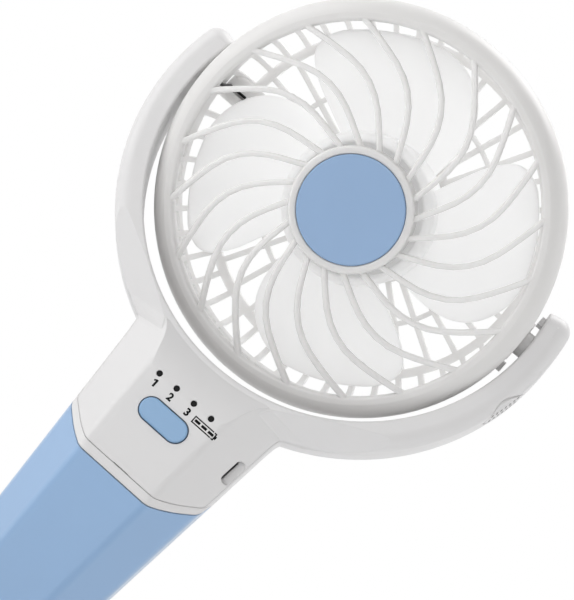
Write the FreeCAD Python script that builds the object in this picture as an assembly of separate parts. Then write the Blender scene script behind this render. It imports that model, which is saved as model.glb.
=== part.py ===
# Rechargeable handheld fan: a caged fan head that tilts in a C-shaped yoke on a tapered handle.
# Frame: origin at the centre of the handle's flat bottom, +X right, +Y back, +Z up, in mm.
# The front faces -Y. The head is stored tilted, with its front turned down by head_tilt.
import FreeCAD, Part
import math
import os
from FreeCAD import Vector

os.makedirs("parts", exist_ok=True)

# Pivot of the head, and its tilt as photographed
pivot_y = -3.9
pivot_z = 180.0
head_tilt = 23.6

# Handle and neck: one tapered octagon with rounded corners, from the flat bottom up to the yoke
taper_z = 122.0
half_w_bottom = 14.5
half_w_top = 25.7
half_d_bottom = 12.2
half_d_top = 14.4
front_flat = 0.53
side_flat = 0.28
corner_r = 3.5
bottom_round = 2.2
neck_end_z = 124.0
wall = 1.8
# The neck flares into the yoke: height and extra half width
flare = [(109.0, 0.0), (112.0, 0.0), (114.3, 0.12), (115.5, 0.28), (116.5, 0.66), (117.3, 1.3), (117.9, 2.1),
         (118.6, 3.35), (119.6, 5.0)]

# The white housing ends in a curve that climbs from the front to the back of the handle
seam_curve = [(-22.0, 77.2), (-14.0, 78.8), (-9.3, 81.9), (-3.9, 87.2), (0.5, 91.2), (5.0, 93.3),
              (10.0, 94.3), (22.0, 94.8)]
collar_height = 2.6
collar_gap = 0.35
seam_gap = 0.16
sleeve_play = 0.12
sleeve_wall = 1.3
sleeve_reach = 4.5

# Yoke: a C-shaped ring around the head
yoke_in_r = 58.0
yoke_out_r = 65.7
yoke_drop = 3.1
yoke_ahead = 7.5
yoke_behind = 9.6
yoke_sweep = 103.5
yoke_edge_r = 4.2
yoke_back_edge_r = 2.6
yoke_inner_edge_r = 0.7
shell_gap = 0.12
shoulder_r = 59.2
shoulder_run = 13.0
shoulder_rise = 3.0
# The handle's front facets run out along the arms up to runout_z, where they stand off by runout
# to the side and by runout_ahead to the front
runout_z = 142.0
runout_y = -3.0
runout = 9.0
runout_ahead = 6.5
runout_steps = 10
badge_angle = 12.5
badge_r = 6.6
badge_depth = 0.3
badge_line = 0.45

# Head, in its own upright frame with the pivot at the origin
head_r = 56.0
rim_in_r = 49.7
rim_front_y = -17.4
rim_seam_y = -9.2
cage_r = head_r - 1.3
cage_wall = 1.7
cage_back_y = 19.4
cage_corner_r = 13.2
slot_front_y = -0.6
slot_back_y = 2.4
ring_back_y = 6.3
rib_count = 20
rib_width = 1.6
rib_depth = 2.4
rib_swirl = 39.5
rib_steps = 11
hub_ring_r = 16.9
hub_disc_r = 14.7
hub_front_y = -22.4

# Rear lattice
lattice_ribs = 36
corner_ribs = 48
lattice_rib_w = 1.6
thick_ring = (46.1, 48.5)
thin_ring = (32.6, 34.0)
centre_r = 21.4
lattice_phase = -0.9
corner_phase = 3.0

# Rotor
tip_r = 47.9
rotor_hub_r = 20.8
hub_play = 1.0
rotor_recess_r = hub_ring_r + hub_play
rotor_front_y = -14.2
rotor_back_y = 3.6
blade_front_y = -9.4
blade_back_y = 2.6
blade_thick = 1.3
blade_count = 4
shaft_r = 1.0

# Motor
motor_r = 12.2
motor_front_y = 1.0
motor_back_y = 15.4
motor_tube_wall = 1.6
motor_flange = (-0.5, 0.98)
motor_screw_x = 6.0
cover_r = 20.0
magnet_r = 9.4
air_gap = 0.5
bushing_r = 2.2

# Pivots: hollow trunnions with a flange, held between the two halves of the yoke
trunnion_r = 3.65
trunnion_play = 0.06
trunnion_bore_r = 1.4
friction_t = 1.0
friction_play = 0.1
flange_r = 5.2
flange_x = yoke_in_r + wall + friction_t + friction_play
flange_t = 1.2
pad_r = 6.2
pad_x = cage_r + 0.9

# Stops: a tab on the cage meets a tab inside the yoke at either end of the tilt
stop_half_w = 1.6
stop_z = (6.5, 9.0)
head_stop_z = (7.0, 9.8)
stop_x = yoke_in_r - 2.35
head_stop_x = yoke_in_r - 1.7

# Wire boss: a round sleeve along X inside the cage by the left pivot, slotted in front
boss_r = 4.2
boss_y = 12.5
boss_x = -42.5
boss_slot_x = (-52.9, -46.4)
boss_slot_w = 1.5

# Push button
button_z = pivot_z - 81.6
button_len = 14.8
button_w = 6.4
button_gap = 0.3
button_proud = 0.55
button_travel = 0.5

# Indicator row
led_z = pivot_z - 73.1
led_pitch = 6.0
led_r = 0.85

# Charging slot in the right facet
slot_z = pivot_z - 78.6
slot_y = -5.4
slot_len = 7.6
slot_w = 2.5
socket_sink = 2.9
socket_len = 5.9
socket_half_z = 3.8
socket_half_y = 1.3
socket_play = 0.15

# Inside the handle
cell_r = 9.2
cell_z = (9.0, 73.6)
cradle_z = (20.0, 62.0)
board_y = -6.6
board_t = 1.2
board_half_w = 14.0
board_z = (86.5, 117.0)
switch_size = 6.0
switch_h = 3.5
plunger_r = 1.75
lead_r = 0.55

# Screws: head radius, head height, shank radius, shank length
housing_screw = (1.9, 1.3, 0.95, 9.0)
arm_screw_sink = 2.4
arm_screw_bite = 3.4
arm_screw = (1.6, 1.0, 0.7, yoke_behind - arm_screw_sink + arm_screw_bite)
arm_screw_r = (yoke_in_r + yoke_out_r) / 2
arm_screw_angles = (32.0, 72.0)
neck_screw = (16.9, 109.6)
handle_screw = (12.2, 26.0)


def half_w(z):
    return half_w_bottom + (half_w_top - half_w_bottom) * z / taper_z


def half_d(z):
    return half_d_bottom + (half_d_top - half_d_bottom) * z / taper_z


def facet_x(y, z):
    """X of the sloping right facet at the given depth and height."""
    w, d = half_w(z), half_d(z)
    return w * front_flat + (w - w * front_flat) * (d - abs(y)) / (d - d * side_flat)


def octagon(z, inset, extra=0.0):
    """Corner points of the handle's octagon at height z, moved in by inset, its sides out by extra."""
    w, d = half_w(z), half_d(z)
    fx, fy = w * front_flat, d * side_flat
    w += extra
    length = math.hypot(w - fx, d - fy)
    nx, ny = (d - fy) / length, (w - fx) / length
    c = nx * w + ny * fy - inset
    w, d = w - inset, d - inset
    fx = (c - ny * d) / nx
    fy = (c - nx * w) / ny
    return [Vector(x, y, z) for x, y in
            ((fx, -d), (w, -fy), (w, fy), (fx, d), (-fx, d), (-w, fy), (-w, -fy), (-fx, -d))]


def rounded_wire(points, radius):
    """Closed wire through points with each corner rounded."""
    edges = []
    arcs = []
    n = len(points)
    for i in range(n):
        a, p, b = points[i - 1], points[i], points[(i + 1) % n]
        u = (a - p).normalize()
        v = (b - p).normalize()
        half = u.getAngle(v) / 2
        cut = radius / math.tan(half)
        start = p + u * cut
        end = p + v * cut
        middle = p + (u + v).normalize() * (radius / math.sin(half) - radius)
        arcs.append((start, middle, end))
    for i in range(n):
        start, middle, end = arcs[i]
        edges.append(Part.Arc(start, middle, end).toShape())
        edges.append(Part.makeLine(end, arcs[(i + 1) % n][0]))
    return Part.Wire(edges)


def handle_solid(z0, z1, inset):
    radius = max(corner_r - inset * 0.6, 0.8)
    wires = [rounded_wire(octagon(z, inset), radius) for z in (z0, z1)]
    return Part.makeLoft(wires, True, True)


def flare_solid(inset):
    radius = max(corner_r - inset * 0.6, 0.8)
    return Part.makeLoft([rounded_wire(octagon(z, inset, extra), radius) for z, extra in flare], True, False)


def box(x0, x1, y0, y1, z0, z1):
    return Part.makeBox(x1 - x0, y1 - y0, z1 - z0, Vector(x0, y0, z0))


def cyl_y(r, y0, y1, x=0.0, z=0.0):
    return Part.makeCylinder(r, y1 - y0, Vector(x, y0, z), Vector(0, 1, 0))


def cyl_x(r, x0, x1, y=0.0, z=0.0):
    return Part.makeCylinder(r, x1 - x0, Vector(x0, y, z), Vector(1, 0, 0))


def tube_y(r_out, r_in, y0, y1, x=0.0, z=0.0):
    return cyl_y(r_out, y0, y1, x, z).cut(cyl_y(r_in, y0 - 1, y1 + 1, x, z))


def fused(shapes):
    first = shapes[0]
    if len(shapes) > 1:
        first = first.multiFuse(shapes[1:])
    return first.removeSplitter()


def revolved(points, z=0.0, arcs=()):
    """Solid of revolution about the line x=0 at height z, parallel to Y.

    points are (radius, y). An index in arcs is the middle point of an arc.
    """
    pts = [Vector(r, y, z) for r, y in points]
    edges = []
    i = 0
    while i < len(pts):
        nxt = (i + 1) % len(pts)
        if nxt in arcs:
            end = (nxt + 1) % len(pts)
            edges.append(Part.Arc(pts[i], pts[nxt], pts[end]).toShape())
            i += 2
        else:
            edges.append(Part.makeLine(pts[i], pts[nxt]))
            i += 1
    face = Part.Face(Part.Wire(edges))
    return face.revolve(Vector(0, 0, z), Vector(0, 1, 0), 360)


def stadium(length, width, y0, y1, x, z):
    """Bar with half-round ends along X, from y0 to y1."""
    half = (length - width) / 2
    return fused([box(x - half, x + half, y0, y1, z - width / 2, z + width / 2),
                  cyl_y(width / 2, y0, y1, x - half, z), cyl_y(width / 2, y0, y1, x + half, z)])


def turned(shape, angle, z=0.0):
    """Copy turned about the Y-parallel line at height z, counter-clockwise seen from the front."""
    copy = shape.copy()
    copy.rotate(Vector(0, 0, z), Vector(0, 1, 0), -angle)
    return copy


def mirrored(shape):
    return shape.mirror(Vector(0, 0, 0), Vector(1, 0, 0))


def edges_where(shape, test):
    return [e for e in shape.Edges if test(e)]


def save(name, shape):
    solids = shape.Solids
    result = solids[0] if len(solids) == 1 else shape
    result.exportStep("parts/%s.step" % name)


def save_in_head(name, shape):
    """Save a piece modelled in the head's upright frame."""
    placed = shape.copy()
    placed.rotate(Vector(0, 0, 0), Vector(1, 0, 0), head_tilt)
    placed.translate(Vector(0, pivot_y, pivot_z))
    save(name, placed)


def curve_solid(shift, above):
    """Everything above or below the housing's lower curve, raised by shift."""
    line = Part.BSplineCurve()
    pts = [Vector(-45, y, z + shift) for y, z in seam_curve]
    line.interpolate(pts)
    far = 260.0 if above else -30.0
    a = Vector(-45, seam_curve[0][0], far)
    b = Vector(-45, seam_curve[-1][0], far)
    wire = Part.Wire([line.toShape(), Part.makeLine(pts[-1], b), Part.makeLine(b, a), Part.makeLine(a, pts[0])])
    return Part.Face(wire).extrude(Vector(90, 0, 0))


# Outer and inner bodies of handle and neck
handle_outer = handle_solid(0.0, neck_end_z, 0.0)
handle_outer = handle_outer.makeFillet(bottom_round,
                                       edges_where(handle_outer, lambda e: e.BoundBox.ZMax < 0.01))
handle_inner = handle_solid(wall + 0.2, neck_end_z + 1, wall)

# Yoke ring
yoke_z = pivot_z - yoke_drop
yoke_front = pivot_y - yoke_ahead
yoke_back = pivot_y + yoke_behind


def yoke_ring(r0, r1, y0, y1, sweep):
    face = Part.Face(Part.makePolygon([Vector(r0, y0, yoke_z), Vector(r1, y0, yoke_z), Vector(r1, y1, yoke_z),
                                       Vector(r0, y1, yoke_z), Vector(r0, y0, yoke_z)]))
    face.rotate(Vector(0, 0, yoke_z), Vector(0, 1, 0), 90 - sweep)
    return face.revolve(Vector(0, 0, yoke_z), Vector(0, 1, 0), 2 * sweep)


def shoulder_cut(r, front, back):
    """Room for the head above the neck, with shoulders curving out to the panel and the back."""
    far = 90.0
    back_rise = 8.5
    return revolved([(0, -60), (far, -60), (far, front - shoulder_rise - 0.6),
                     (r + shoulder_run, front - shoulder_rise),
                     (r + shoulder_run * 0.45, front - shoulder_rise * 0.68),
                     (r, front), (r, back), (r + back_rise + 1.0, back + back_rise),
                     (far, back + back_rise), (far, 60), (0, 60)], yoke_z, (4,))


def ring_radius(edge):
    """Distance of an edge's middle from the yoke's axis."""
    middle = edge.valueAt((edge.FirstParameter + edge.LastParameter) / 2)
    return math.hypot(middle.x, middle.z - yoke_z)


def rounded_ring(inset, sweep):
    """The yoke's outer form, or the same moved in by inset on every side."""
    y0, y1 = yoke_front + inset, yoke_back - inset
    ring = yoke_ring(yoke_in_r + inset, yoke_out_r - inset, y0, y1, sweep)
    ring = ring.makeFillet(yoke_edge_r - inset, edges_where(
        ring, lambda e: ring_radius(e) > yoke_in_r + 1.0 and e.BoundBox.YMin < y1 - 0.01))
    ring = ring.makeFillet(yoke_back_edge_r - inset, edges_where(
        ring, lambda e: ring_radius(e) > yoke_in_r + 1.0 and e.BoundBox.YMin > y1 - 0.01))
    return ring.makeFillet(yoke_inner_edge_r - inset, edges_where(
        ring, lambda e: abs(ring_radius(e) - yoke_in_r - inset) < 0.01))


def ring_half_width(z):
    """Half width of the yoke's outer circle at height z, nothing below it."""
    return math.sqrt(max(yoke_out_r ** 2 - (yoke_z - z) ** 2, 0.0))


def neck_envelope(inset):
    """Octagon that follows the flare and then the ring, standing off from it more and more."""
    radius = max(corner_r - inset * 0.6, 0.8)
    wires = []
    for z, extra in flare:
        extra = max(extra, ring_half_width(z) - half_w(z))
        wires.append(rounded_wire(octagon(z, inset, extra), radius))
    z0 = flare[-1][0]
    for i in range(1, runout_steps + 2):
        part = i / runout_steps
        z = z0 + (runout_z - z0) * part
        extra = ring_half_width(z) - half_w(z) + runout * part ** 1.3
        wires.append(rounded_wire(octagon(z, inset, extra), radius))
        wires[-1].translate(Vector(0, -runout_ahead * part ** 0.8, 0))
    return Part.makeLoft(wires, True, True)


def faceted(shape, inset):
    """A body of the yoke with its front edges cut back to the handle's facets near the neck."""
    room = box(-90, 90, -60, runout_y, flare[0][0], runout_z)
    return shape.cut(room.cut(neck_envelope(inset)))


ring = faceted(rounded_ring(0.0, yoke_sweep), 0.0)

neck = fused([handle_outer, flare_solid(0.0)]).common(curve_solid(collar_height + seam_gap / 2, True))
neck = neck.cut(shoulder_cut(shoulder_r, yoke_front + 0.2, yoke_back - 0.2))
housing_outer = fused([ring, neck])

ring_room = yoke_ring(yoke_in_r + wall, yoke_out_r - wall, yoke_front + wall, yoke_back - wall,
                      yoke_sweep - 2.4)
ring_room = faceted(ring_room, wall + 0.6)
neck_room = handle_inner.cut(shoulder_cut(shoulder_r + wall, yoke_front + wall - 0.1, yoke_back - wall - 0.3))
housing_room = fused([ring_room, neck_room])
housing = housing_outer.cut(housing_room)


def at_yoke(angle, radius=arm_screw_r):
    """X and Z of a point on the yoke, angle degrees from straight down."""
    a = math.radians(angle)
    return radius * math.sin(a), yoke_z - radius * math.cos(a)


def split(shape, y, gap):
    front = shape.common(box(-90, 90, -60, y - gap / 2, -10, 260))
    back = shape.common(box(-90, 90, y + gap / 2, 60, -10, 260))
    return front, back


def screw(spec, x, z, head_y):
    """Pan head screw driven from the back, its head resting at head_y."""
    cap_r, cap_h, shank_r, shank_len = spec
    cap = cyl_y(cap_r, head_y, head_y + cap_h, x, z)
    cap = cap.makeFillet(cap_h * 0.45, edges_where(cap, lambda e: e.BoundBox.YMin > head_y + cap_h - 0.01
                                                   and e.BoundBox.XLength > cap_r))
    long, thin = cap_r * 0.6, cap_r * 0.14
    y0, y1 = head_y + cap_h * 0.5, head_y + cap_h + 1
    cross = fused([box(x - long, x + long, y0, y1, z - thin, z + thin),
                   box(x - thin, x + thin, y0, y1, z - long, z + long)])
    shank = cyl_y(shank_r, head_y - shank_len + shank_r, head_y, x, z)
    point = Part.makeCone(shank_r, 0.15, shank_r, Vector(x, head_y - shank_len + shank_r, z), Vector(0, -1, 0))
    return fused([cap, shank, point]).cut(cross)


def screw_seats(front, back, envelope, spec, x, z, split_y, head_y):
    """Bosses in both shells for one screw: a clear hole and recess behind, a pilot hole in front."""
    cap_r, cap_h, shank_r, shank_len = spec
    recess = cyl_y(cap_r + 0.25, head_y, 40, x, z)
    boss = cyl_y(cap_r + 0.55, -30, 30, x, z).common(envelope)
    front_boss, back_boss = split(boss, split_y, shell_gap)
    front = fused([front, front_boss])
    back = fused([back.cut(recess), back_boss.cut(recess)])
    front = front.cut(cyl_y(shank_r, head_y - shank_len - 0.3, 40, x, z))
    back = back.cut(cyl_y(shank_r + 0.2, -40, 40, x, z))
    return front, back


# Stops inside the yoke, either side
for side in (-1, 1):
    x0, x1 = sorted((side * stop_x, side * (yoke_in_r + 1.2)))
    housing = housing.fuse(box(x0, x1, pivot_y - stop_half_w, pivot_y + stop_half_w,
                               pivot_z + stop_z[0], pivot_z + stop_z[1]))
    x0, x1 = sorted((side * (yoke_in_r - 4.1), side * (yoke_in_r + wall + 0.6)))
    housing = housing.cut(cyl_x(trunnion_r + trunnion_play, x0, x1, pivot_y, pivot_z))

# Shallow round badge recess low on the right arm's side
badge_x, badge_z = at_yoke(90 - badge_angle, yoke_out_r)
badge = cyl_x(badge_r, badge_x - 4, badge_x + 4, pivot_y, badge_z)
badge = badge.cut(cyl_x(badge_r - badge_line, badge_x - 5, badge_x + 5, pivot_y, badge_z))
housing = housing.cut(badge.cut(rounded_ring(badge_depth, yoke_sweep - 1.0)))

# Openings of the control panel
panel_y = -half_d(button_z)
housing = housing.cut(stadium(button_len + 2 * button_gap, button_w + 2 * button_gap, panel_y - 4, panel_y + 4,
                              0.0, button_z))
for i in range(4):
    housing = housing.cut(cyl_y(led_r + 0.02, panel_y - 4, panel_y + 4, (i - 1.5) * led_pitch, led_z))
socket_x1 = facet_x(slot_y, slot_z) - socket_sink
socket_x0 = socket_x1 - socket_len
slot_end = (slot_len - slot_w) / 2
port = fused([box(socket_x0, 40.0, slot_y - slot_w / 2, slot_y + slot_w / 2,
                  slot_z - slot_end, slot_z + slot_end),
              cyl_x(slot_w / 2, socket_x0, 40.0, slot_y, slot_z - slot_end),
              cyl_x(slot_w / 2, socket_x0, 40.0, slot_y, slot_z + slot_end)])
housing = housing.cut(port)
room_y, room_z = socket_half_y + socket_play, socket_half_z + socket_play
housing = housing.cut(box(socket_x0 - 3.4, socket_x1 + 0.1, slot_y - room_y, slot_y + room_y,
                          slot_z - room_z, slot_z + room_z))
notch_z = seam_curve[1][1] + collar_height
housing = housing.cut(box(-2.1, 2.8, -20, -10, notch_z - 0.5, notch_z + 0.42))

housing_front, housing_back = split(housing, pivot_y, shell_gap)
arm_lead_y = yoke_front + wall + lead_r + 0.85
arm_lead_r = yoke_in_r + wall + lead_r + 0.3
lead_room = Part.makeTorus(arm_lead_r, lead_r + 0.12, Vector(0, arm_lead_y, yoke_z), Vector(0, 1, 0))
lead_room = lead_room.common(box(-90, -5, -60, 60, 60, 260))
screws = []
for side in (-1, 1):
    for angle in arm_screw_angles:
        x, z = at_yoke(side * angle)
        housing_front, housing_back = screw_seats(housing_front, housing_back, housing_outer, arm_screw, x, z,
                                                  pivot_y, yoke_back - arm_screw_sink)
        screws.append(("arm_screw_%d" % (len(screws) + 1), screw(arm_screw, x, z, yoke_back - arm_screw_sink)))
for side in (-1, 1):
    x, z = side * neck_screw[0], neck_screw[1]
    housing_front, housing_back = screw_seats(housing_front, housing_back, housing_outer, housing_screw, x, z,
                                              pivot_y, 2.2)
    screws.append(("neck_screw_%d" % (len(screws) - 3), screw(housing_screw, x, z, 2.2)))
housing_front = housing_front.cut(lead_room)
housing_back = housing_back.cut(lead_room)
save("housing_front", housing_front)
save("housing_back", housing_back)

# Collar: a visible band and a sleeve that locates the housing and the handle
deep = handle_solid(60.0, neck_end_z, wall + sleeve_play + sleeve_wall)
band = handle_outer.common(curve_solid(0.0, True)).common(curve_solid(collar_height - seam_gap / 2, False))
sleeve = handle_solid(60.0, neck_end_z, wall + sleeve_play).common(curve_solid(-sleeve_reach, True))
sleeve = sleeve.common(curve_solid(collar_height + sleeve_reach, False))
collar = fused([band, sleeve]).cut(deep)
save("collar_ring", collar)

# Blue handle shells with cradle ribs for the cell
handle = handle_outer.common(curve_solid(-collar_gap, False)).cut(handle_inner)
for z in cradle_z:
    rib = handle_inner.common(box(-40, 40, -40, 40, z - 0.7, z + 0.7))
    rib = rib.cut(Part.makeCylinder(cell_r + 0.15, 10, Vector(0, 0, z - 5)))
    rib = rib.cut(Part.makeCylinder(lead_r + 0.5, 10, Vector(-7.6, 8.5, z - 5)))
    handle = handle.fuse(rib)
handle_front, handle_back = split(handle.removeSplitter(), 0.0, shell_gap)
handle_envelope = handle_outer.common(curve_solid(-collar_gap, False))
for side in (-1, 1):
    x, z = side * handle_screw[0], handle_screw[1]
    handle_front, handle_back = screw_seats(handle_front, handle_back, handle_envelope, housing_screw, x, z,
                                            0.0, 3.4)
    screws.append(("handle_screw_%d" % (len(screws) - 5), screw(housing_screw, x, z, 3.4)))
save("handle_front", handle_front)
save("handle_back", handle_back)
for name, shape in screws:
    save(name, shape)

# Power button: pillowed cap, flange behind the panel, stem to the switch
panel_in = panel_y + wall
cap = stadium(button_len, button_w, panel_y - button_proud, panel_in + 0.3, 0.0, button_z)
cap = cap.makeFillet(0.5, edges_where(cap, lambda e: e.BoundBox.YMax < panel_y - button_proud + 0.01))
base = stadium(button_len + 2.4, button_w + 2.4, panel_in + 0.3, panel_in + 1.1, 0.0, button_z)
switch_front_y = board_y - switch_h
plunger_front_y = switch_front_y - 0.6
stem = cyl_y(1.5, panel_in + 1.0, plunger_front_y - 0.05, 0.0, button_z)
save("power_button", fused([cap, base, stem]))
bore = cyl_y(plunger_r + 0.05, switch_front_y - 1, switch_front_y + 1.6, 0.0, button_z)
switch = box(-switch_size / 2, switch_size / 2, switch_front_y, board_y, button_z - switch_size / 2,
             button_z + switch_size / 2).cut(bore)
save("switch_body", switch)
save("switch_plunger", cyl_y(plunger_r, plunger_front_y, switch_front_y + 1.0, 0.0, button_z))

# Circuit board and what stands on it
board = fused([box(-board_half_w, board_half_w, board_y, board_y + board_t, board_z[0], board_z[1]),
               box(board_half_w - 1, socket_x1 - 1.9, board_y, board_y + board_t, slot_z - 5.6, slot_z + 5.4)])
board = board.cut(box(socket_x0 - 0.1, socket_x1 + 1, board_y - 1, board_y + board_t + 1,
                      slot_z - socket_half_z - 0.1, slot_z + socket_half_z + 0.1))
save("circuit_board", board)
guide_y = -half_d(led_z) + wall + 0.4
guide = box(-2.0 - 1.5 * led_pitch, 2.0 + 1.5 * led_pitch, guide_y, guide_y + 1.2, led_z - 1.7, led_z + 1.5)
posts = []
for i in range(4):
    posts.append(cyl_y(led_r - 0.04, -half_d(led_z) + 0.25, guide_y + 0.5, (i - 1.5) * led_pitch, led_z))
save("light_guide", fused([guide] + posts))
for i in range(4):
    x = (i - 1.5) * led_pitch
    save("led_chip_%d" % (i + 1), box(x - 0.8, x + 0.8, board_y - 0.8, board_y, led_z - 0.5, led_z + 0.5))
back = board_y + board_t
save("control_chip", box(-6.0, -1.0, back, back + 1.5, 92.0, 98.0))
save("inductor", fused([box(2.0, 8.0, back, back + 1.0, 90.0, 96.0),
                        cyl_y(2.6, back + 0.8, back + 3.0, 5.0, 93.0)]))
save("capacitor", cyl_y(2.5, back, back + 5.5, -8.0, 109.0))
socket = box(socket_x0, socket_x1, slot_y - socket_half_y, slot_y + socket_half_y, slot_z - socket_half_z,
             slot_z + socket_half_z)
socket = socket.cut(box(socket_x0 + 0.6, socket_x1 + 1,
                        slot_y - socket_half_y + 0.3, slot_y + socket_half_y - 0.3,
                        slot_z - socket_half_z + 0.35, slot_z + socket_half_z - 0.35))
tongue = box(socket_x0 + 0.3, socket_x1 - 0.7, slot_y - 0.1, slot_y + 0.5, slot_z - 2.2, slot_z + 2.2)
save("charge_socket", fused([socket, tongue]))

# Cell, its contact tabs and leads
can = Part.makeCylinder(cell_r, cell_z[1] - cell_z[0], Vector(0, 0, cell_z[0]))
can = can.makeFillet(0.6, edges_where(can, lambda e: e.BoundBox.ZLength < 0.01))
save("battery_cell", fused([can, Part.makeCylinder(3.0, 1.0, Vector(0, 0, cell_z[1] - 0.2))]))
save("cell_tab_top", box(-3.0, 3.0, -4.5, 4.5, cell_z[1] + 0.8, cell_z[1] + 1.0))
save("cell_tab_bottom", box(-3.0, 3.0, -4.5, 4.5, cell_z[0] - 0.2, cell_z[0]))


def lead(points, radius, bend=3.0):
    """Round wire through points: straight runs joined by arcs of about the bend radius."""
    pts = [Vector(*p) for p in points]
    edges = []
    start = pts[0]
    for i in range(1, len(pts) - 1):
        u = (pts[i - 1] - pts[i]).normalize()
        v = (pts[i + 1] - pts[i]).normalize()
        half = u.getAngle(v) / 2
        room = 0.48 * min((pts[i - 1] - pts[i]).Length, (pts[i + 1] - pts[i]).Length)
        cut = min(bend / math.tan(half), room)
        arc_r = cut * math.tan(half)
        middle = pts[i] + (u + v).normalize() * (arc_r / math.sin(half) - arc_r)
        edges.append(Part.makeLine(start, pts[i] + u * cut))
        start = pts[i] + v * cut
        edges.append(Part.Arc(pts[i] + u * cut, middle, start).toShape())
    edges.append(Part.makeLine(start, pts[-1]))
    section = Part.Wire([Part.Circle(pts[0], pts[1] - pts[0], radius).toShape()])
    return Part.Wire(edges).makePipeShell([section], True, True)


save("cell_lead_red", lead([(2.0, 2.0, cell_z[1] + 1.6), (7.0, 2.0, 77.5), (9.0, 1.0, 82.0), (7.0, -4.0, 88.0)],
                           lead_r))
save("cell_lead_black", lead([(-2.5, 3.0, cell_z[0] - 0.8), (-7.0, 8.3, 6.6), (-7.5, 8.4, 14.0),
                              (-7.7, 8.6, 64.0), (-8.4, 5.0, 82.0), (-9.0, -4.0, 88.0)], lead_r))
points = [(-9.5, arm_lead_y + 1.0, 114.2)]
for angle in range(14, 83, 6):
    x, z = at_yoke(-angle, arm_lead_r)
    points.append((x, arm_lead_y, z))
save("yoke_lead", lead(points, lead_r, 30.0))

# Friction rings around the trunnions, inside the yoke
for name, side in (("left", -1), ("right", 1)):
    x0, x1 = sorted((side * (yoke_in_r + wall + 0.02), side * (yoke_in_r + wall + 0.02 + friction_t)))
    ring_shape = cyl_x(flange_r, x0, x1, pivot_y, pivot_z).cut(cyl_x(trunnion_r + 0.08, x0 - 1, x1 + 1,
                                                                     pivot_y, pivot_z))
    save("friction_ring_" + name, ring_shape)


# Everything from here on belongs to the tilting head and is modelled upright, pivot at the origin


def polar(r, angle, y):
    a = math.radians(angle)
    return Vector(r * math.cos(a), y, r * math.sin(a))


def spline(points):
    line = Part.BSplineCurve()
    line.interpolate(points)
    return line


# Front grille: rim, swirled ribs and hub ring
spigot_r = cage_r - cage_wall - 0.1
rim = revolved([(rim_in_r, rim_front_y + 0.9), (rim_in_r + 0.25, rim_front_y + 0.3),
                (rim_in_r + 0.8, rim_front_y), (rim_in_r + 2.2, rim_front_y),
                (head_r - 1.4, rim_front_y + 1.8), (head_r, rim_front_y + 5.4), (head_r - 0.5, rim_seam_y),
                (spigot_r + 0.1, rim_seam_y), (spigot_r, rim_seam_y + 0.2), (spigot_r, rim_seam_y + 3.2),
                (spigot_r - 0.9, rim_seam_y + 3.2), (spigot_r - 0.9, rim_front_y + 3.2),
                (rim_in_r, rim_front_y + 2.8)], 0.0, (1, 4))
hub_ring = revolved([(hub_disc_r + 0.12, hub_front_y + 0.4), (hub_disc_r + 0.25, hub_front_y + 0.12),
                     (hub_disc_r + 0.6, hub_front_y), (hub_ring_r - 0.7, hub_front_y),
                     (hub_ring_r - 0.2, hub_front_y + 0.2), (hub_ring_r, hub_front_y + 0.7),
                     (hub_ring_r, hub_front_y + 6.9), (hub_ring_r - 1.5, hub_front_y + 6.9),
                     (hub_ring_r - 1.5, hub_front_y + 2.9), (0, hub_front_y + 2.9),
                     (0, hub_front_y + 1.5), (hub_disc_r + 0.12, hub_front_y + 1.5)], 0.0, (1, 4))

rib_path = []
for r, swirl, y in ((16.0, -2.2, -20.3), (18.5, 2.3, -20.3), (21.5, 6.0, -20.2), (29.7, 13.6, -19.6),
                    (36.6, 21.6, -18.9), (43.1, 31.6, -17.9), (47.5, 37.4, -16.8), (50.9, 41.2, -15.9)):
    rib_path.append(polar(r, swirl - rib_swirl, y))
rib_line = spline(rib_path)


def rib_section(u):
    """Rounded rectangle across the rib's centre line."""
    point = rib_line.value(u)
    along = rib_line.tangent(u)[0]
    across = along.cross(Vector(0, 1, 0)).normalize()
    up = across.cross(along).normalize()
    corners = []
    for i, j in ((-1, -1), (1, -1), (1, 1), (-1, 1)):
        corners.append(point + across * (i * rib_width / 2) + up * (j * rib_depth / 2))
    return rounded_wire(corners, rib_width * 0.4)


rib_u0 = rib_line.FirstParameter
rib_du = (rib_line.LastParameter - rib_u0) / rib_steps
rib = Part.makeLoft([rib_section(rib_u0 + rib_du * i) for i in range(rib_steps + 1)], True, True)
ribs = [turned(rib, 360.0 / rib_count * i) for i in range(rib_count)]
save_in_head("front_grille", fused([rim, hub_ring] + ribs))

disc = cyl_y(hub_disc_r, hub_front_y + 0.1, hub_front_y + 1.5)
disc = disc.makeFillet(0.5, edges_where(disc, lambda e: e.BoundBox.YMax < hub_front_y + 0.2))
save_in_head("hub_cap", disc)

# Rear cage: a deep dish whose back is a lattice of ribs and rings
inner_corner_r = cage_corner_r - cage_wall
corner_mid = math.sqrt(0.5)
corner_x = cage_r - cage_corner_r
corner_y = cage_back_y - cage_corner_r
cage = revolved([(cage_r, rim_seam_y + 0.1), (cage_r, corner_y),
                 (corner_x + cage_corner_r * corner_mid, corner_y + cage_corner_r * corner_mid),
                 (corner_x, cage_back_y), (0, cage_back_y), (0, cage_back_y - cage_wall),
                 (corner_x, cage_back_y - cage_wall),
                 (corner_x + inner_corner_r * corner_mid, corner_y + inner_corner_r * corner_mid),
                 (cage_r - cage_wall, corner_y), (cage_r - cage_wall, rim_seam_y + 0.1)], 0.0, (2, 7))
cage = turned(cage, corner_phase + 45.0)


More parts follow.
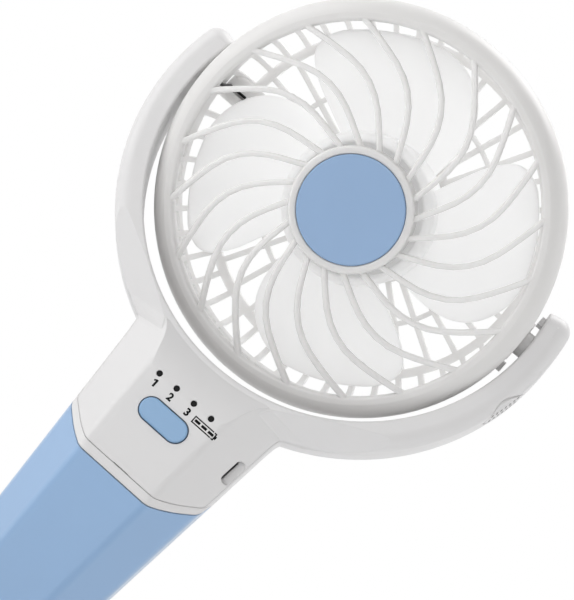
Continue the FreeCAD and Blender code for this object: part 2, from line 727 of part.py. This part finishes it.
def window(r0, r1, y0, y1, angle, pitch, width):
    """Opening between two radial ribs of the given width, centred on angle."""
    half = math.radians(pitch / 2)
    apex = width / 2 / math.sin(half)
    far = 80.0
    start = Vector(apex, y0, 0)
    corner = Vector(apex + far * math.cos(half), y0, far * math.sin(half))
    other = Vector(corner.x, y0, -corner.z)
    wedge = Part.Face(Part.makePolygon([start, corner, other, start])).extrude(Vector(0, y1 - y0, 0))
    return turned(tube_y(r1, r0, y0, y1).common(wedge), angle)


def windows(r0, r1, y0, y1, count, phase, width):
    pitch = 360.0 / count
    first = window(r0, r1, y0, y1, 0.0, pitch, width)
    return [turned(first, phase + pitch * (i + 0.5)) for i in range(count)]


past_r, past_y = cage_r + 5.0, cage_back_y + 5.0
back_y0 = cage_back_y - cage_wall - 2.0
holes = windows(thick_ring[1], past_r, ring_back_y, past_y, corner_ribs, corner_phase, lattice_rib_w)
holes += windows(thin_ring[1], thick_ring[0], back_y0, past_y, lattice_ribs, lattice_phase, lattice_rib_w)
holes += windows(centre_r, thin_ring[0], back_y0, past_y, lattice_ribs, lattice_phase, lattice_rib_w)
vents = windows(cage_r - cage_wall - 2.0, past_r, slot_front_y, slot_back_y, corner_ribs, corner_phase,
                lattice_rib_w)
for i, hole in enumerate(vents):
    angle = corner_phase + 360.0 / corner_ribs * (i + 0.5)
    if abs((angle + 90) % 180 - 90) > 16:
        holes.append(hole)
cage = cage.cut(Part.makeCompound(holes))


def flat_sided_boss(r, x0, x1, sides=16):
    """Boss along X whose flat sides meet the cage's round wall cleanly."""
    points = []
    for i in range(sides + 1):
        a = 2 * math.pi * (i + 0.5) / sides
        points.append(Vector(x0, r * math.cos(a), r * math.sin(a)))
    return Part.Face(Part.makePolygon(points)).extrude(Vector(x1 - x0, 0, 0))


tube_r = motor_r + 0.1
adds = [cyl_y(tube_r + motor_tube_wall, motor_flange[0], cage_back_y - 0.5)]
for side in (-1, 1):
    x0, x1 = sorted((side * (cage_r - cage_wall + 0.2), side * pad_x))
    adds.append(flat_sided_boss(pad_r, x0, x1))
    x0, x1 = sorted((side * (cage_r - cage_wall + 0.2), side * (flange_x + flange_t)))
    adds.append(cyl_x(trunnion_r, x0, x1))
    x0, x1 = sorted((side * flange_x, side * (flange_x + flange_t)))
    adds.append(cyl_x(flange_r, x0, x1))
    x0, x1 = sorted((side * (cage_r - 1.3), side * head_stop_x))
    adds.append(box(x0, x1, -stop_half_w, stop_half_w, -head_stop_z[1], -head_stop_z[0]))
adds.append(cyl_x(boss_r, -(cage_r - cage_wall + 0.2), boss_x, boss_y))
cage = fused([cage] + adds)
cage = cage.cut(cyl_y(tube_r, motor_front_y - 0.02, 30.0))
cage = cage.cut(cyl_y(3.3, -2.0, 3.0))
for side in (-1, 1):
    cage = cage.cut(cyl_y(1.0, -2.0, 3.0, side * motor_screw_x))
    x0, x1 = sorted((side * (cage_r - 4.2), side * (flange_x + 3.0)))
    cage = cage.cut(cyl_x(trunnion_bore_r, x0, x1))
cage = cage.cut(cyl_x(trunnion_bore_r, boss_slot_x[0], boss_x + 1.0, boss_y))
cage = cage.cut(box(boss_slot_x[0], boss_slot_x[1], boss_y - boss_r - 1.0, boss_y,
                    -boss_slot_w / 2, boss_slot_w / 2))
cage = cage.cut(box(-tube_r - 3.0, -tube_r + 1.0, 15.6, cage_back_y - cage_wall, -1.0, 1.0))
save_in_head("rear_grille", cage)

cover = cyl_y(cover_r, cage_back_y + 0.05, cage_back_y + 1.2)
cover = cover.makeFillet(0.6, edges_where(cover, lambda e: e.BoundBox.YMin > cage_back_y + 1.0))
cover = cover.fuse(tube_y(tube_r - 0.1, tube_r - 1.3, cage_back_y - 1.2, cage_back_y + 0.1))
save_in_head("motor_cover", cover)

# Rotor
hub = revolved([(rotor_recess_r, rotor_front_y + 0.3), (rotor_recess_r + 0.3, rotor_front_y),
                (rotor_recess_r + 0.6, rotor_front_y), (20.2, rotor_front_y + 0.75),
                (rotor_hub_r, rotor_front_y + 2.3), (rotor_hub_r, rotor_back_y), (19.2, rotor_back_y),
                (19.2, -4.4), (3.6, -4.4), (3.6, -1.2), (0, -1.2), (0, -12.6), (3.6, -12.6), (3.6, -6.0),
                (rotor_recess_r, -6.0)], 0.0, (3,))
trailing = [polar(r, a, -20.0) for r, a in ((19.6, 52.6), (25, 55.4), (30, 56.8), (35, 57.7), (40, 57.3),
                                            (43.5, 56.0), (45.6, 53.9), (47.0, 50.6), (tip_r, 45.5))]
leading = [polar(r, a, -20.0) for r, a in ((tip_r, 13.0), (47.1, 7.0), (45.4, 0.8), (42.3, -6.3),
                                           (38.6, -11.6), (35, -15.1), (30, -18.8), (25, -22.0), (19.6, -26.0))]
tip = Part.Arc(trailing[-1], polar(tip_r, 29.0, -20.0), leading[0]).toShape()
root_edge = Part.Arc(leading[-1], polar(19.6, 13.0, -20.0), trailing[0]).toShape()
outline = Part.Face(Part.Wire([spline(trailing).toShape(), tip, spline(leading).toShape(), root_edge]))
outline = outline.extrude(Vector(0, 40, 0))
edges = []
for r in (15.0, 52.0):
    line = []
    for i in range(13):
        angle = -34.0 + 8.25 * i
        y = blade_back_y + (blade_front_y - blade_back_y) * (angle + 26.0) / 84.0
        line.append(polar(r, angle, y - blade_thick / 2))
    edges.append(spline(line).toShape())
slab = Part.makeRuledSurface(edges[0], edges[1]).extrude(Vector(0, blade_thick, 0))
blade = slab.common(outline)
blades = [turned(blade, 90.0 * i) for i in range(blade_count)]
rotor = fused([hub] + blades).cut(cyl_y(shaft_r, -20.0, 5.0))
save_in_head("blade_rotor", rotor)
save_in_head("motor_shaft", cyl_y(shaft_r, -12.4, 16.6))

core = cyl_y(magnet_r - air_gap, 4.5, 12.5).cut(cyl_y(shaft_r, 0.0, 20.0))
slots = []
for i in range(3):
    slots.append(turned(box(3.4, 9.5, 4.0, 13.0, -1.1, 1.1).fuse(tube_y(7.0, 3.4, 4.0, 13.0).common(
        box(0, 10, 4.0, 13.0, -2.1, 2.1))), 120.0 * i + 60))
wound = Part.makeCompound(slots)
core = core.cut(wound)
coil = tube_y(6.8, 3.6, 3.4, 4.5).fuse(tube_y(6.8, 3.6, 12.5, 13.2))
for i in range(3):
    bar = tube_y(6.8, 3.6, 4.3, 12.7).common(box(0, 10, 4.3, 12.7, -2.0, 2.0))
    coil = coil.fuse(turned(bar, 120.0 * i + 60))
save_in_head("armature_core", core)
save_in_head("armature_winding", coil.removeSplitter())
save_in_head("commutator", tube_y(2.4, shaft_r, 13.4, 14.4))

# Motor
motor = cyl_y(motor_r, motor_front_y, motor_back_y)
motor = motor.makeFillet(0.8, edges_where(motor, lambda e: e.BoundBox.YMax < motor_front_y + 0.01))
motor = fused([motor, cyl_y(3.0, -0.5, motor_front_y + 0.5)])
motor = motor.cut(cyl_y(motor_r - 0.8, motor_front_y + 0.8, 20.0)).cut(cyl_y(bushing_r, -2.0, 5.0))
for side in (-1, 1):
    motor = motor.cut(cyl_y(0.8, 0.0, 3.0, side * motor_screw_x))
save_in_head("motor_can", motor)
magnet = tube_y(motor_r - 0.82, magnet_r, 3.5, 13.0)
for name, side in (("left", -1), ("right", 1)):
    x0, x1 = sorted((side * 2.2, side * 14.0))
    save_in_head("magnet_" + name, magnet.common(box(x0, x1, 0.0, 16.0, -14.0, 14.0)))
save_in_head("bushing_front", tube_y(bushing_r, shaft_r + 0.05, -0.4, 2.4))
save_in_head("bushing_rear", tube_y(bushing_r, shaft_r + 0.05, 14.6, 16.4))
end_cap = cyl_y(motor_r - 0.82, 14.6, motor_back_y).fuse(cyl_y(3.2, motor_back_y - 0.1, 16.4))
save_in_head("motor_end_cap", end_cap.cut(cyl_y(bushing_r, 10.0, 20.0)).removeSplitter())
for name, side in (("1", -1), ("2", 1)):
    z0, z1 = sorted((side * 6.4, side * 7.0))
    save_in_head("motor_terminal_" + name, box(-1.2, 1.2, motor_back_y, 18.0, z0, z1))
for name, side in (("1", -1), ("2", 1)):
    x = side * motor_screw_x
    head = cyl_y(1.6, motor_flange[0] - 1.0, motor_flange[0], x)
    head = head.makeFillet(0.4, edges_where(head, lambda e: e.BoundBox.YMax < motor_flange[0] - 0.9))
    shank = cyl_y(0.8, motor_flange[0] - 0.1, 2.2, x)
    slot = box(x - 1.1, x + 1.1, motor_flange[0] - 2.0, motor_flange[0] - 0.5, -0.25, 0.25)
    save_in_head("motor_screw_" + name, fused([head, shank]).cut(slot))

# Lead from the left trunnion through the wire boss and along the inside of the cage to the motor
lead_y = cage_back_y - cage_wall - lead_r - 0.15
save_in_head("head_lead", lead([(-60.5, 0, 0), (-52.3, 0, 0), (-52.3, boss_y, 0), (-41.0, boss_y, 0),
                                (-37.0, lead_y, 0), (-10.8, lead_y, 0), (-7.0, 16.9, -2.5), (-1.9, 16.9, -6.5)],
                               lead_r, 1.5))
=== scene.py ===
import math

import bpy
from mathutils import Matrix, Vector


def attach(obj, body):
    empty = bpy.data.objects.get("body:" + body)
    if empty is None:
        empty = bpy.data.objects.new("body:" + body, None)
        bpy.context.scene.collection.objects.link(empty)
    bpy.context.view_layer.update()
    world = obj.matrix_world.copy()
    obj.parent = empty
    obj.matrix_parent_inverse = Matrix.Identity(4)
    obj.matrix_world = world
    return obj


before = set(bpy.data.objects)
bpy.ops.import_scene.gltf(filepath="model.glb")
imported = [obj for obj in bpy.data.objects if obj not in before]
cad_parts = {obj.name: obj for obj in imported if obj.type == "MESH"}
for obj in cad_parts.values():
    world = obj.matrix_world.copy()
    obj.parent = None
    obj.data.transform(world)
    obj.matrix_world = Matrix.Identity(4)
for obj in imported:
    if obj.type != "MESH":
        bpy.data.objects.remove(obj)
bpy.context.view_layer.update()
bpy.ops.object.select_all(action="DESELECT")

MM = 0.001
PIVOT = Vector((0.0, -3.9, 180.0)) * MM

# Camera: from slightly below, rolled so that the handle leaves the picture at its lower left corner,
# and moved off the pivot by CAMERA_RIGHT and CAMERA_UP
CAMERA_AZIMUTH = math.radians(7.02)
CAMERA_ELEVATION = math.radians(-12.88)
CAMERA_ROLL = math.radians(42.65)
CAMERA_DISTANCE = 600.0 * MM
CAMERA_RIGHT = 1.27 * MM
CAMERA_UP = -32.74 * MM
CAMERA_LENS = 132.48
CAMERA_SENSOR = 36.0

# Light from the surroundings, before and behind the fan, and the soft boxes: place, width, power
FRONT_LIGHT = 0.33
BACK_LIGHT = 1.0
LIGHT_AIM = Vector((0.0, 0.0, 0.15))
SOFTBOXES = (
    ("front_softbox", (-0.1, -0.8, 0.26), 0.5, 1.2),
    ("left_softbox", (-0.7, -0.25, 0.32), 0.6, 2.3),
    ("right_softbox", (0.7, -0.1, 0.32), 0.6, 0.8),
    ("top_softbox", (0.05, 0.05, 0.9), 0.5, 3.0),
)
FLOOR_SIZE = 3.0
FLOOR_Z = -0.2 * MM
WHITE = (1.0, 1.0, 1.0, 1.0)

# Control panel: half the handle's depth at its bottom, what it gains over how much height, and
# from these the panel's front plane at the level of the printed marks and how much it leans
BASE_HALF_DEPTH = 12.2 * MM
DEPTH_GAIN = 2.2 * MM
GAIN_HEIGHT = 122.0 * MM
DIGITS_Z = 104.2 * MM
PANEL_Y = -(BASE_HALF_DEPTH + DEPTH_GAIN * DIGITS_Z / GAIN_HEIGHT)
PANEL_LEAN = math.atan2(DEPTH_GAIN, GAIN_HEIGHT)

# Printed marks: how far they stand off the plastic, the digits, and the battery gauge
MARK_PROUD = 0.02 * MM
DIGIT_HEIGHT = 2.2 * MM
DIGIT_LINE = 0.58 * MM
CAPITAL_SHARE = 0.75
BOLDER = 0.12 * MM
DIGIT_ONE_X = -8.1 * MM
DIGITS = (("2", -2.7 * MM), ("3", 3.15 * MM))
GAUGE_X = (5.5 * MM, 13.0 * MM)
GAUGE_Z = 103.9 * MM
GAUGE_HEIGHT = 2.1 * MM
GAUGE_LINE = 0.34 * MM
GAUGE_CELLS = 3

# Badge on the yoke's outer side, BADGE_ANGLE degrees from straight down: short ticks either side
# of the seam between the yoke's two shells, TICK_STEP degrees apart
YOKE_CENTRE_Z = 176.9 * MM
YOKE_OUT_R = 65.7 * MM
BADGE_ANGLE = 77.5
TICKS = 7
TICK_STEP = 1.25
TICK_SIZE = (0.5 * MM, 2.4 * MM)
TICK_OFF_SEAM = 2.9 * MM


def make_camera():
    """A long lens aimed past the pivot, turned about its own axis."""
    az, el, roll = CAMERA_AZIMUTH, CAMERA_ELEVATION, CAMERA_ROLL
    back = Vector((math.sin(az) * math.cos(el), -math.cos(az) * math.cos(el), math.sin(el)))
    right = Vector((math.cos(az), math.sin(az), 0.0))
    up = back.cross(right)
    across = math.cos(roll) * right + math.sin(roll) * up
    above = -math.sin(roll) * right + math.cos(roll) * up
    place = PIVOT + back * CAMERA_DISTANCE + right * CAMERA_RIGHT + up * CAMERA_UP
    bpy.ops.object.camera_add()
    camera = bpy.context.object
    camera.name = "camera"
    camera.data.lens = CAMERA_LENS
    camera.data.sensor_width = CAMERA_SENSOR
    camera.data.clip_start = 0.05
    camera.matrix_world = Matrix((
        (across.x, above.x, back.x, place.x),
        (across.y, above.y, back.y, place.y),
        (across.z, above.z, back.z, place.z),
        (0.0, 0.0, 0.0, 1.0)))
    bpy.context.scene.camera = camera


def softbox(name, place, size, power):
    """Square area light aimed at the middle of the fan."""
    place = Vector(place)
    bpy.ops.object.light_add(type="AREA", location=place)
    lamp = bpy.context.object
    lamp.name = name
    lamp.data.size = size
    lamp.data.energy = power
    lamp.rotation_euler = (LIGHT_AIM - place).to_track_quat("-Z", "Y").to_euler()


def make_studio():
    """White surroundings, brighter behind the fan, a pale floor and soft boxes."""
    scene = bpy.context.scene
    scene.view_settings.view_transform = "Standard"
    world = bpy.data.worlds.new("studio")
    scene.world = world
    world.use_nodes = True
    nodes, links = world.node_tree.nodes, world.node_tree.links
    nodes.clear()
    out = nodes.new("ShaderNodeOutputWorld")
    path = nodes.new("ShaderNodeLightPath")
    seen = nodes.new("ShaderNodeMath")
    seen.operation = "MAXIMUM"
    links.new(path.outputs["Is Camera Ray"], seen.inputs[0])
    links.new(path.outputs["Is Transmission Ray"], seen.inputs[1])
    glossy = nodes.new("ShaderNodeMath")
    glossy.operation = "MAXIMUM"
    links.new(seen.outputs[0], glossy.inputs[0])
    links.new(path.outputs["Is Glossy Ray"], glossy.inputs[1])
    light = nodes.new("ShaderNodeBackground")
    light.inputs["Color"].default_value = WHITE
    direction = nodes.new("ShaderNodeTexCoord")
    parts = nodes.new("ShaderNodeSeparateXYZ")
    links.new(direction.outputs["Generated"], parts.inputs[0])
    depth = nodes.new("ShaderNodeMapRange")
    depth.inputs["From Min"].default_value = -0.3
    depth.inputs["From Max"].default_value = 0.5
    depth.inputs["To Min"].default_value = FRONT_LIGHT
    depth.inputs["To Max"].default_value = BACK_LIGHT
    links.new(parts.outputs["Y"], depth.inputs["Value"])
    links.new(depth.outputs["Result"], light.inputs["Strength"])
    white = nodes.new("ShaderNodeBackground")
    white.inputs["Color"].default_value = WHITE
    white.inputs["Strength"].default_value = 1.0
    mix = nodes.new("ShaderNodeMixShader")
    links.new(glossy.outputs[0], mix.inputs["Fac"])
    links.new(light.outputs[0], mix.inputs[1])
    links.new(white.outputs[0], mix.inputs[2])
    links.new(mix.outputs[0], out.inputs["Surface"])

    bpy.ops.mesh.primitive_plane_add(size=FLOOR_SIZE, location=(0.0, 0.0, FLOOR_Z))
    floor = bpy.context.object
    floor.name = "floor"
    paint = bpy.data.materials.new("pale_floor")
    paint.use_nodes = True
    shader = paint.node_tree.nodes["Principled BSDF"]
    shader.inputs["Base Color"].default_value = (0.86, 0.86, 0.86, 1.0)
    shader.inputs["Roughness"].default_value = 0.7
    floor.data.materials.append(paint)

    for name, place, size, power in SOFTBOXES:
        softbox(name, place, size, power)


def new_group(name, inputs, outputs):
    """Empty shader node group with its sockets, and its two end nodes."""
    group = bpy.data.node_groups.new(name, "ShaderNodeTree")
    for title, kind, value in inputs:
        socket = group.interface.new_socket(title, in_out="INPUT", socket_type=kind)
        socket.default_value = value
    for title, kind in outputs:
        group.interface.new_socket(title, in_out="OUTPUT", socket_type=kind)
    return group, group.nodes.new("NodeGroupInput"), group.nodes.new("NodeGroupOutput")


def moulded_group():
    """Moulded surface: softened edges and fine grain, with masks of edges and of broad patches."""
    group, given, out = new_group(
        "moulded_surface",
        [("Edge Radius", "NodeSocketFloat", 0.0003), ("Grain Scale", "NodeSocketFloat", 4000.0),
         ("Grain Height", "NodeSocketFloat", 0.00001), ("Patch Scale", "NodeSocketFloat", 30.0)],
        [("Normal", "NodeSocketVector"), ("Edges", "NodeSocketFloat"), ("Patches", "NodeSocketFloat")])
    nodes, links = group.nodes, group.links
    coord = nodes.new("ShaderNodeTexCoord")
    bevel = nodes.new("ShaderNodeBevel")
    bevel.samples = 4
    links.new(given.outputs["Edge Radius"], bevel.inputs["Radius"])
    grain = nodes.new("ShaderNodeTexNoise")
    grain.inputs["Detail"].default_value = 2.0
    links.new(coord.outputs["Object"], grain.inputs["Vector"])
    links.new(given.outputs["Grain Scale"], grain.inputs["Scale"])
    bump = nodes.new("ShaderNodeBump")
    links.new(given.outputs["Grain Height"], bump.inputs["Distance"])
    links.new(grain.outputs["Fac"], bump.inputs["Height"])
    links.new(bevel.outputs["Normal"], bump.inputs["Normal"])
    links.new(bump.outputs["Normal"], out.inputs["Normal"])
    shape = nodes.new("ShaderNodeNewGeometry")
    turn = nodes.new("ShaderNodeVectorMath")
    turn.operation = "DOT_PRODUCT"
    links.new(bevel.outputs["Normal"], turn.inputs[0])
    links.new(shape.outputs["Normal"], turn.inputs[1])
    edge = nodes.new("ShaderNodeMapRange")
    edge.inputs["From Min"].default_value = 0.98
    edge.inputs["From Max"].default_value = 0.75
    links.new(turn.outputs["Value"], edge.inputs["Value"])
    links.new(edge.outputs["Result"], out.inputs["Edges"])
    patch = nodes.new("ShaderNodeTexNoise")
    patch.inputs["Detail"].default_value = 3.0
    patch.inputs["Distortion"].default_value = 0.4
    links.new(coord.outputs["Object"], patch.inputs["Vector"])
    links.new(given.outputs["Patch Scale"], patch.inputs["Scale"])
    spread = nodes.new("ShaderNodeMapRange")
    spread.inputs["From Min"].default_value = 0.3
    spread.inputs["From Max"].default_value = 0.7
    links.new(patch.outputs["Fac"], spread.inputs["Value"])
    links.new(spread.outputs["Result"], out.inputs["Patches"])
    return group


MOULDED = moulded_group()


def tint(color, factor):
    """A colour made lighter or darker, without going past white."""
    return tuple(min(1.0, c * factor) for c in color[:3]) + (1.0,)


def moulded_plastic(name, color, rough=(0.30, 0.42), grain_height=0.008, edge_radius=0.3, edge_gain=1.04,
                    coat=0.0, scatter=0.0, painted_glow=0.0, sheen=0.0, shine=0.5):
    """Injection moulded plastic: colour and gloss drift a little, and edges are softened.

    The emission strength is painted light, a glow that brightens a wall lying in shade as if light
    came through it from behind; sheen is the pale haze of a fine matt texture seen at a low angle,
    and shine the strength of the mirror image.
    """
    material = bpy.data.materials.new(name)
    material.use_nodes = True
    nodes, links = material.node_tree.nodes, material.node_tree.links
    shader = nodes["Principled BSDF"]
    surface = nodes.new("ShaderNodeGroup")
    surface.node_tree = MOULDED
    surface.inputs["Edge Radius"].default_value = edge_radius * MM
    surface.inputs["Grain Height"].default_value = grain_height * MM
    drift = nodes.new("ShaderNodeMix")
    drift.data_type = "RGBA"
    drift.inputs[6].default_value = tint(color, 0.985)
    drift.inputs[7].default_value = tint(color, 1.015)
    links.new(surface.outputs["Patches"], drift.inputs[0])
    edge = nodes.new("ShaderNodeMix")
    edge.data_type = "RGBA"
    edge.inputs[7].default_value = tint(color, edge_gain)
    links.new(surface.outputs["Edges"], edge.inputs[0])
    links.new(drift.outputs[2], edge.inputs[6])
    links.new(edge.outputs[2], shader.inputs["Base Color"])
    gloss = nodes.new("ShaderNodeMapRange")
    gloss.inputs["To Min"].default_value = rough[0]
    gloss.inputs["To Max"].default_value = rough[1]
    links.new(surface.outputs["Patches"], gloss.inputs["Value"])
    links.new(gloss.outputs["Result"], shader.inputs["Roughness"])
    links.new(surface.outputs["Normal"], shader.inputs["Normal"])
    shader.inputs["Coat Weight"].default_value = coat
    shader.inputs["Coat Roughness"].default_value = 0.08
    shader.inputs["Sheen Weight"].default_value = sheen
    shader.inputs["Specular IOR Level"].default_value = shine
    if scatter:
        shader.inputs["Subsurface Weight"].default_value = scatter
        shader.inputs["Subsurface Radius"].default_value = (1.0, 1.0, 1.0)
        shader.inputs["Subsurface Scale"].default_value = 3.0 * MM
    # Painted light: white emission that lifts a surface out of the shade it lies in
    if painted_glow:
        shader.inputs["Emission Color"].default_value = WHITE
        shader.inputs["Emission Strength"].default_value = painted_glow
    return material


def metal(name, color, rough=(0.25, 0.4), edge_radius=0.1):
    """Plated or drawn metal with fine uneven polish."""
    material = moulded_plastic(name, color, rough, 0.004, edge_radius, 1.2)
    material.node_tree.nodes["Principled BSDF"].inputs["Metallic"].default_value = 1.0
    return material


def paint_nodes(material, *names):
    """Give every slot of the named pieces one material."""
    for name in names:
        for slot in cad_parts[name].material_slots:
            slot.material = material


def srgb(r, g, b):
    """Linear colour from the 0 to 255 values seen in a picture."""
    linear = []
    for value in (r, g, b):
        v = value / 255.0
        linear.append(v / 12.92 if v <= 0.04045 else ((v + 0.055) / 1.055) ** 2.4)
    return tuple(linear) + (1.0,)


def make_materials():
    """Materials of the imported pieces; only the outer ones show in the picture."""
    white = moulded_plastic("white_housing", srgb(217, 216, 216))
    grille = moulded_plastic("white_grille", srgb(218, 217, 216), edge_radius=0.45, scatter=1.0)
    # Painted light: the lattice and motor cover are painted lighter than the grille white and given a
    # painted glow, to lift the shade they lie in behind the blades
    lattice = moulded_plastic("white_lattice", srgb(226, 225, 224), edge_radius=0.45, scatter=1.0,
                              painted_glow=0.03)
    # Painted light: a painted glow is added to the blades' white, lifting them above the light that reaches
    # them inside the cage
    blade = moulded_plastic("white_blades", srgb(248, 248, 248), rough=(0.28, 0.36), edge_radius=0.5,
                            scatter=1.0, painted_glow=0.12)
    blue = moulded_plastic("blue_handle", srgb(137, 171, 209), rough=(0.3, 0.4), sheen=0.8)
    satin = moulded_plastic("blue_button", srgb(134, 170, 206), rough=(0.3, 0.38), grain_height=0.003)
    gloss = moulded_plastic("blue_gloss", srgb(138, 168, 204), rough=(0.14, 0.2), grain_height=0.002,
                            coat=0.4)
    black = moulded_plastic("black_parts", srgb(28, 28, 30))
    smoked = moulded_plastic("smoked_window", srgb(8, 8, 9), rough=(0.2, 0.3), grain_height=0.001,
                             shine=0.1)
    green = moulded_plastic("board_green", srgb(20, 92, 60), rough=(0.2, 0.3))
    rubber = moulded_plastic("friction_rubber", srgb(40, 40, 42), rough=(0.6, 0.75))
    wrap = moulded_plastic("cell_sleeve", srgb(50, 130, 120), rough=(0.18, 0.28))
    resin = moulded_plastic("led_resin", srgb(235, 228, 160), rough=(0.1, 0.2))
    red = moulded_plastic("red_insulation", srgb(170, 30, 26))
    steel = metal("plated_steel", srgb(190, 190, 192))
    nickel = metal("nickel_strip", srgb(200, 196, 184))
    copper = metal("enamelled_copper", srgb(190, 110, 70))
    bronze = metal("sintered_bronze", srgb(150, 120, 80), rough=(0.5, 0.6))
    iron = metal("laminated_iron", srgb(90, 90, 92), rough=(0.4, 0.5))
    paint_nodes(white, "housing_front", "housing_back", "collar_ring")
    paint_nodes(grille, "front_grille")
    paint_nodes(lattice, "rear_grille", "motor_cover")
    paint_nodes(blade, "blade_rotor")
    paint_nodes(blue, "handle_front", "handle_back")
    paint_nodes(gloss, "hub_cap")
    paint_nodes(satin, "power_button")
    paint_nodes(black, "switch_body", "switch_plunger", "control_chip", "inductor", "motor_end_cap",
                "cell_lead_black", "yoke_lead", "head_lead")
    paint_nodes(smoked, "light_guide")
    paint_nodes(green, "circuit_board")
    paint_nodes(rubber, "friction_ring_left", "friction_ring_right")
    paint_nodes(wrap, "battery_cell")
    paint_nodes(resin, "led_chip_1", "led_chip_2", "led_chip_3", "led_chip_4")
    paint_nodes(red, "cell_lead_red")
    paint_nodes(steel, "arm_screw_1", "arm_screw_2", "arm_screw_3", "arm_screw_4", "neck_screw_1",
                "neck_screw_2", "handle_screw_1", "handle_screw_2", "motor_screw_1", "motor_screw_2",
                "motor_shaft", "motor_can", "charge_socket", "capacitor")
    paint_nodes(nickel, "cell_tab_top", "cell_tab_bottom", "motor_terminal_1", "motor_terminal_2")
    paint_nodes(copper, "armature_winding", "commutator")
    paint_nodes(bronze, "bushing_front", "bushing_rear")
    paint_nodes(iron, "armature_core", "magnet_left", "magnet_right")


def joined(pieces, name):
    """Make one object of several, selected and active."""
    bpy.ops.object.select_all(action="DESELECT")
    for piece in pieces:
        piece.select_set(True)
    bpy.context.view_layer.objects.active = pieces[0]
    if len(pieces) > 1:
        bpy.ops.object.join()
    whole = bpy.context.object
    whole.name = name
    return whole


def stand_on_panel(place):
    """Apply the active flat mesh's place on the plane of the control panel."""
    mark = bpy.context.object
    mark.rotation_euler = (math.radians(90.0) + PANEL_LEAN, 0.0, 0.0)
    mark.location = place
    bpy.ops.object.transform_apply(location=True, rotation=True, scale=True)
    return mark


def print_on(mark, node, material):
    """Lay a flat mark just proud of the node's front surface, as ink."""
    bpy.ops.object.modifier_add(type="SHRINKWRAP")
    wrap = mark.modifiers[-1]
    wrap.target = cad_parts[node]
    wrap.wrap_method = "PROJECT"
    wrap.use_project_y = True
    wrap.use_negative_direction = True
    wrap.use_positive_direction = True
    wrap.offset = MARK_PROUD
    bpy.ops.object.modifier_apply(modifier=wrap.name)
    mark.data.materials.clear()
    mark.data.materials.append(material)
    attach(mark, "housing")
    mark.select_set(False)


def flat_bar(x, y, length, width, turn=0.0):
    """Thin bar in the XY plane, its long side along X before it is turned."""
    bpy.ops.mesh.primitive_grid_add(x_subdivisions=12, y_subdivisions=2, size=1.0, location=(x, y, 0.0),
                                    rotation=(0.0, 0.0, turn))
    bar = bpy.context.object
    bar.scale = (length, width, 1.0)
    bpy.ops.object.transform_apply(location=True, rotation=True, scale=True)
    return bar


def make_digits(ink):
    """Plain digits beside three of the lamps. The 1 is a stem and a flag, the others are text."""
    stem_x = 0.25 * DIGIT_HEIGHT
    stem = flat_bar(stem_x, DIGIT_HEIGHT / 2, DIGIT_HEIGHT, DIGIT_LINE, math.radians(90.0))
    flag = flat_bar(stem_x - 0.2 * DIGIT_HEIGHT, 0.83 * DIGIT_HEIGHT, 0.42 * DIGIT_HEIGHT, 0.75 * DIGIT_LINE,
                    math.radians(33.0))
    one = joined([stem, flag], "digit_1")
    stand_on_panel((DIGIT_ONE_X - stem_x, PANEL_Y, DIGITS_Z - DIGIT_HEIGHT / 2))
    print_on(one, "housing_front", ink)
    for digit, x in DIGITS:
        bpy.ops.object.text_add()
        text = bpy.context.object.data
        text.body = digit
        text.size = DIGIT_HEIGHT / CAPITAL_SHARE
        text.offset = BOLDER
        bpy.ops.object.convert(target="MESH")
        bpy.context.object.name = "digit_" + digit
        half_width = bpy.context.object.dimensions.x / 2
        mark = stand_on_panel((x - half_width, PANEL_Y, DIGITS_Z - DIGIT_HEIGHT / 2))
        print_on(mark, "housing_front", ink)


def make_charge_gauge(ink):
    """Battery outline with filled cells, by the fourth lamp."""
    length = GAUGE_X[1] - GAUGE_X[0]
    line, height = GAUGE_LINE, GAUGE_HEIGHT
    upright = math.radians(90.0)
    bars = [flat_bar(0.0, (height - line) / 2, length, line),
            flat_bar(0.0, -(height - line) / 2, length, line),
            flat_bar(-(length - line) / 2, 0.0, height, line, upright),
            flat_bar((length - line) / 2, 0.0, height, line, upright),
            flat_bar(length / 2 + 0.2 * MM, 0.0, 0.45 * height, 0.4 * MM, upright)]
    pitch = (length - 2 * line) / GAUGE_CELLS
    for i in range(GAUGE_CELLS):
        x = (i - (GAUGE_CELLS - 1) / 2) * pitch
        bars.append(flat_bar(x, 0.0, pitch - 1.6 * line, height - 4.0 * line))
    gauge = joined(bars, "charge_gauge")
    stand_on_panel(((GAUGE_X[0] + GAUGE_X[1]) / 2, PANEL_Y, GAUGE_Z))
    print_on(gauge, "housing_front", ink)


def make_badge_ticks(ink):
    """Short ticks inside the round badge, on either side of the yoke's seam."""
    ticks = []
    for side in (-1, 1):
        for i in range(TICKS):
            angle = math.radians(BADGE_ANGLE + (i - (TICKS - 1) / 2) * TICK_STEP)
            place = (YOKE_OUT_R * math.sin(angle), PIVOT.y + side * TICK_OFF_SEAM,
                     YOKE_CENTRE_Z - YOKE_OUT_R * math.cos(angle))
            bpy.ops.mesh.primitive_cube_add(size=1.0, location=place,
                                            rotation=(0.0, math.pi / 2 - angle, 0.0))
            tick = bpy.context.object
            tick.scale = (4 * MARK_PROUD, TICK_SIZE[1], TICK_SIZE[0])
            bpy.ops.object.transform_apply(location=True, rotation=True, scale=True)
            ticks.append(tick)
    badge = joined(ticks, "badge_ticks")
    badge.data.materials.append(ink)
    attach(badge, "housing")
    badge.select_set(False)


make_camera()
make_studio()
make_materials()
panel_ink = moulded_plastic("panel_ink", srgb(10, 10, 11), rough=(0.5, 0.6), grain_height=0.001, shine=0.1)
grey_ink = moulded_plastic("grey_ink", srgb(120, 118, 118), rough=(0.5, 0.6), grain_height=0.001)
make_digits(panel_ink)
make_charge_gauge(panel_ink)
make_badge_ticks(grey_ink)
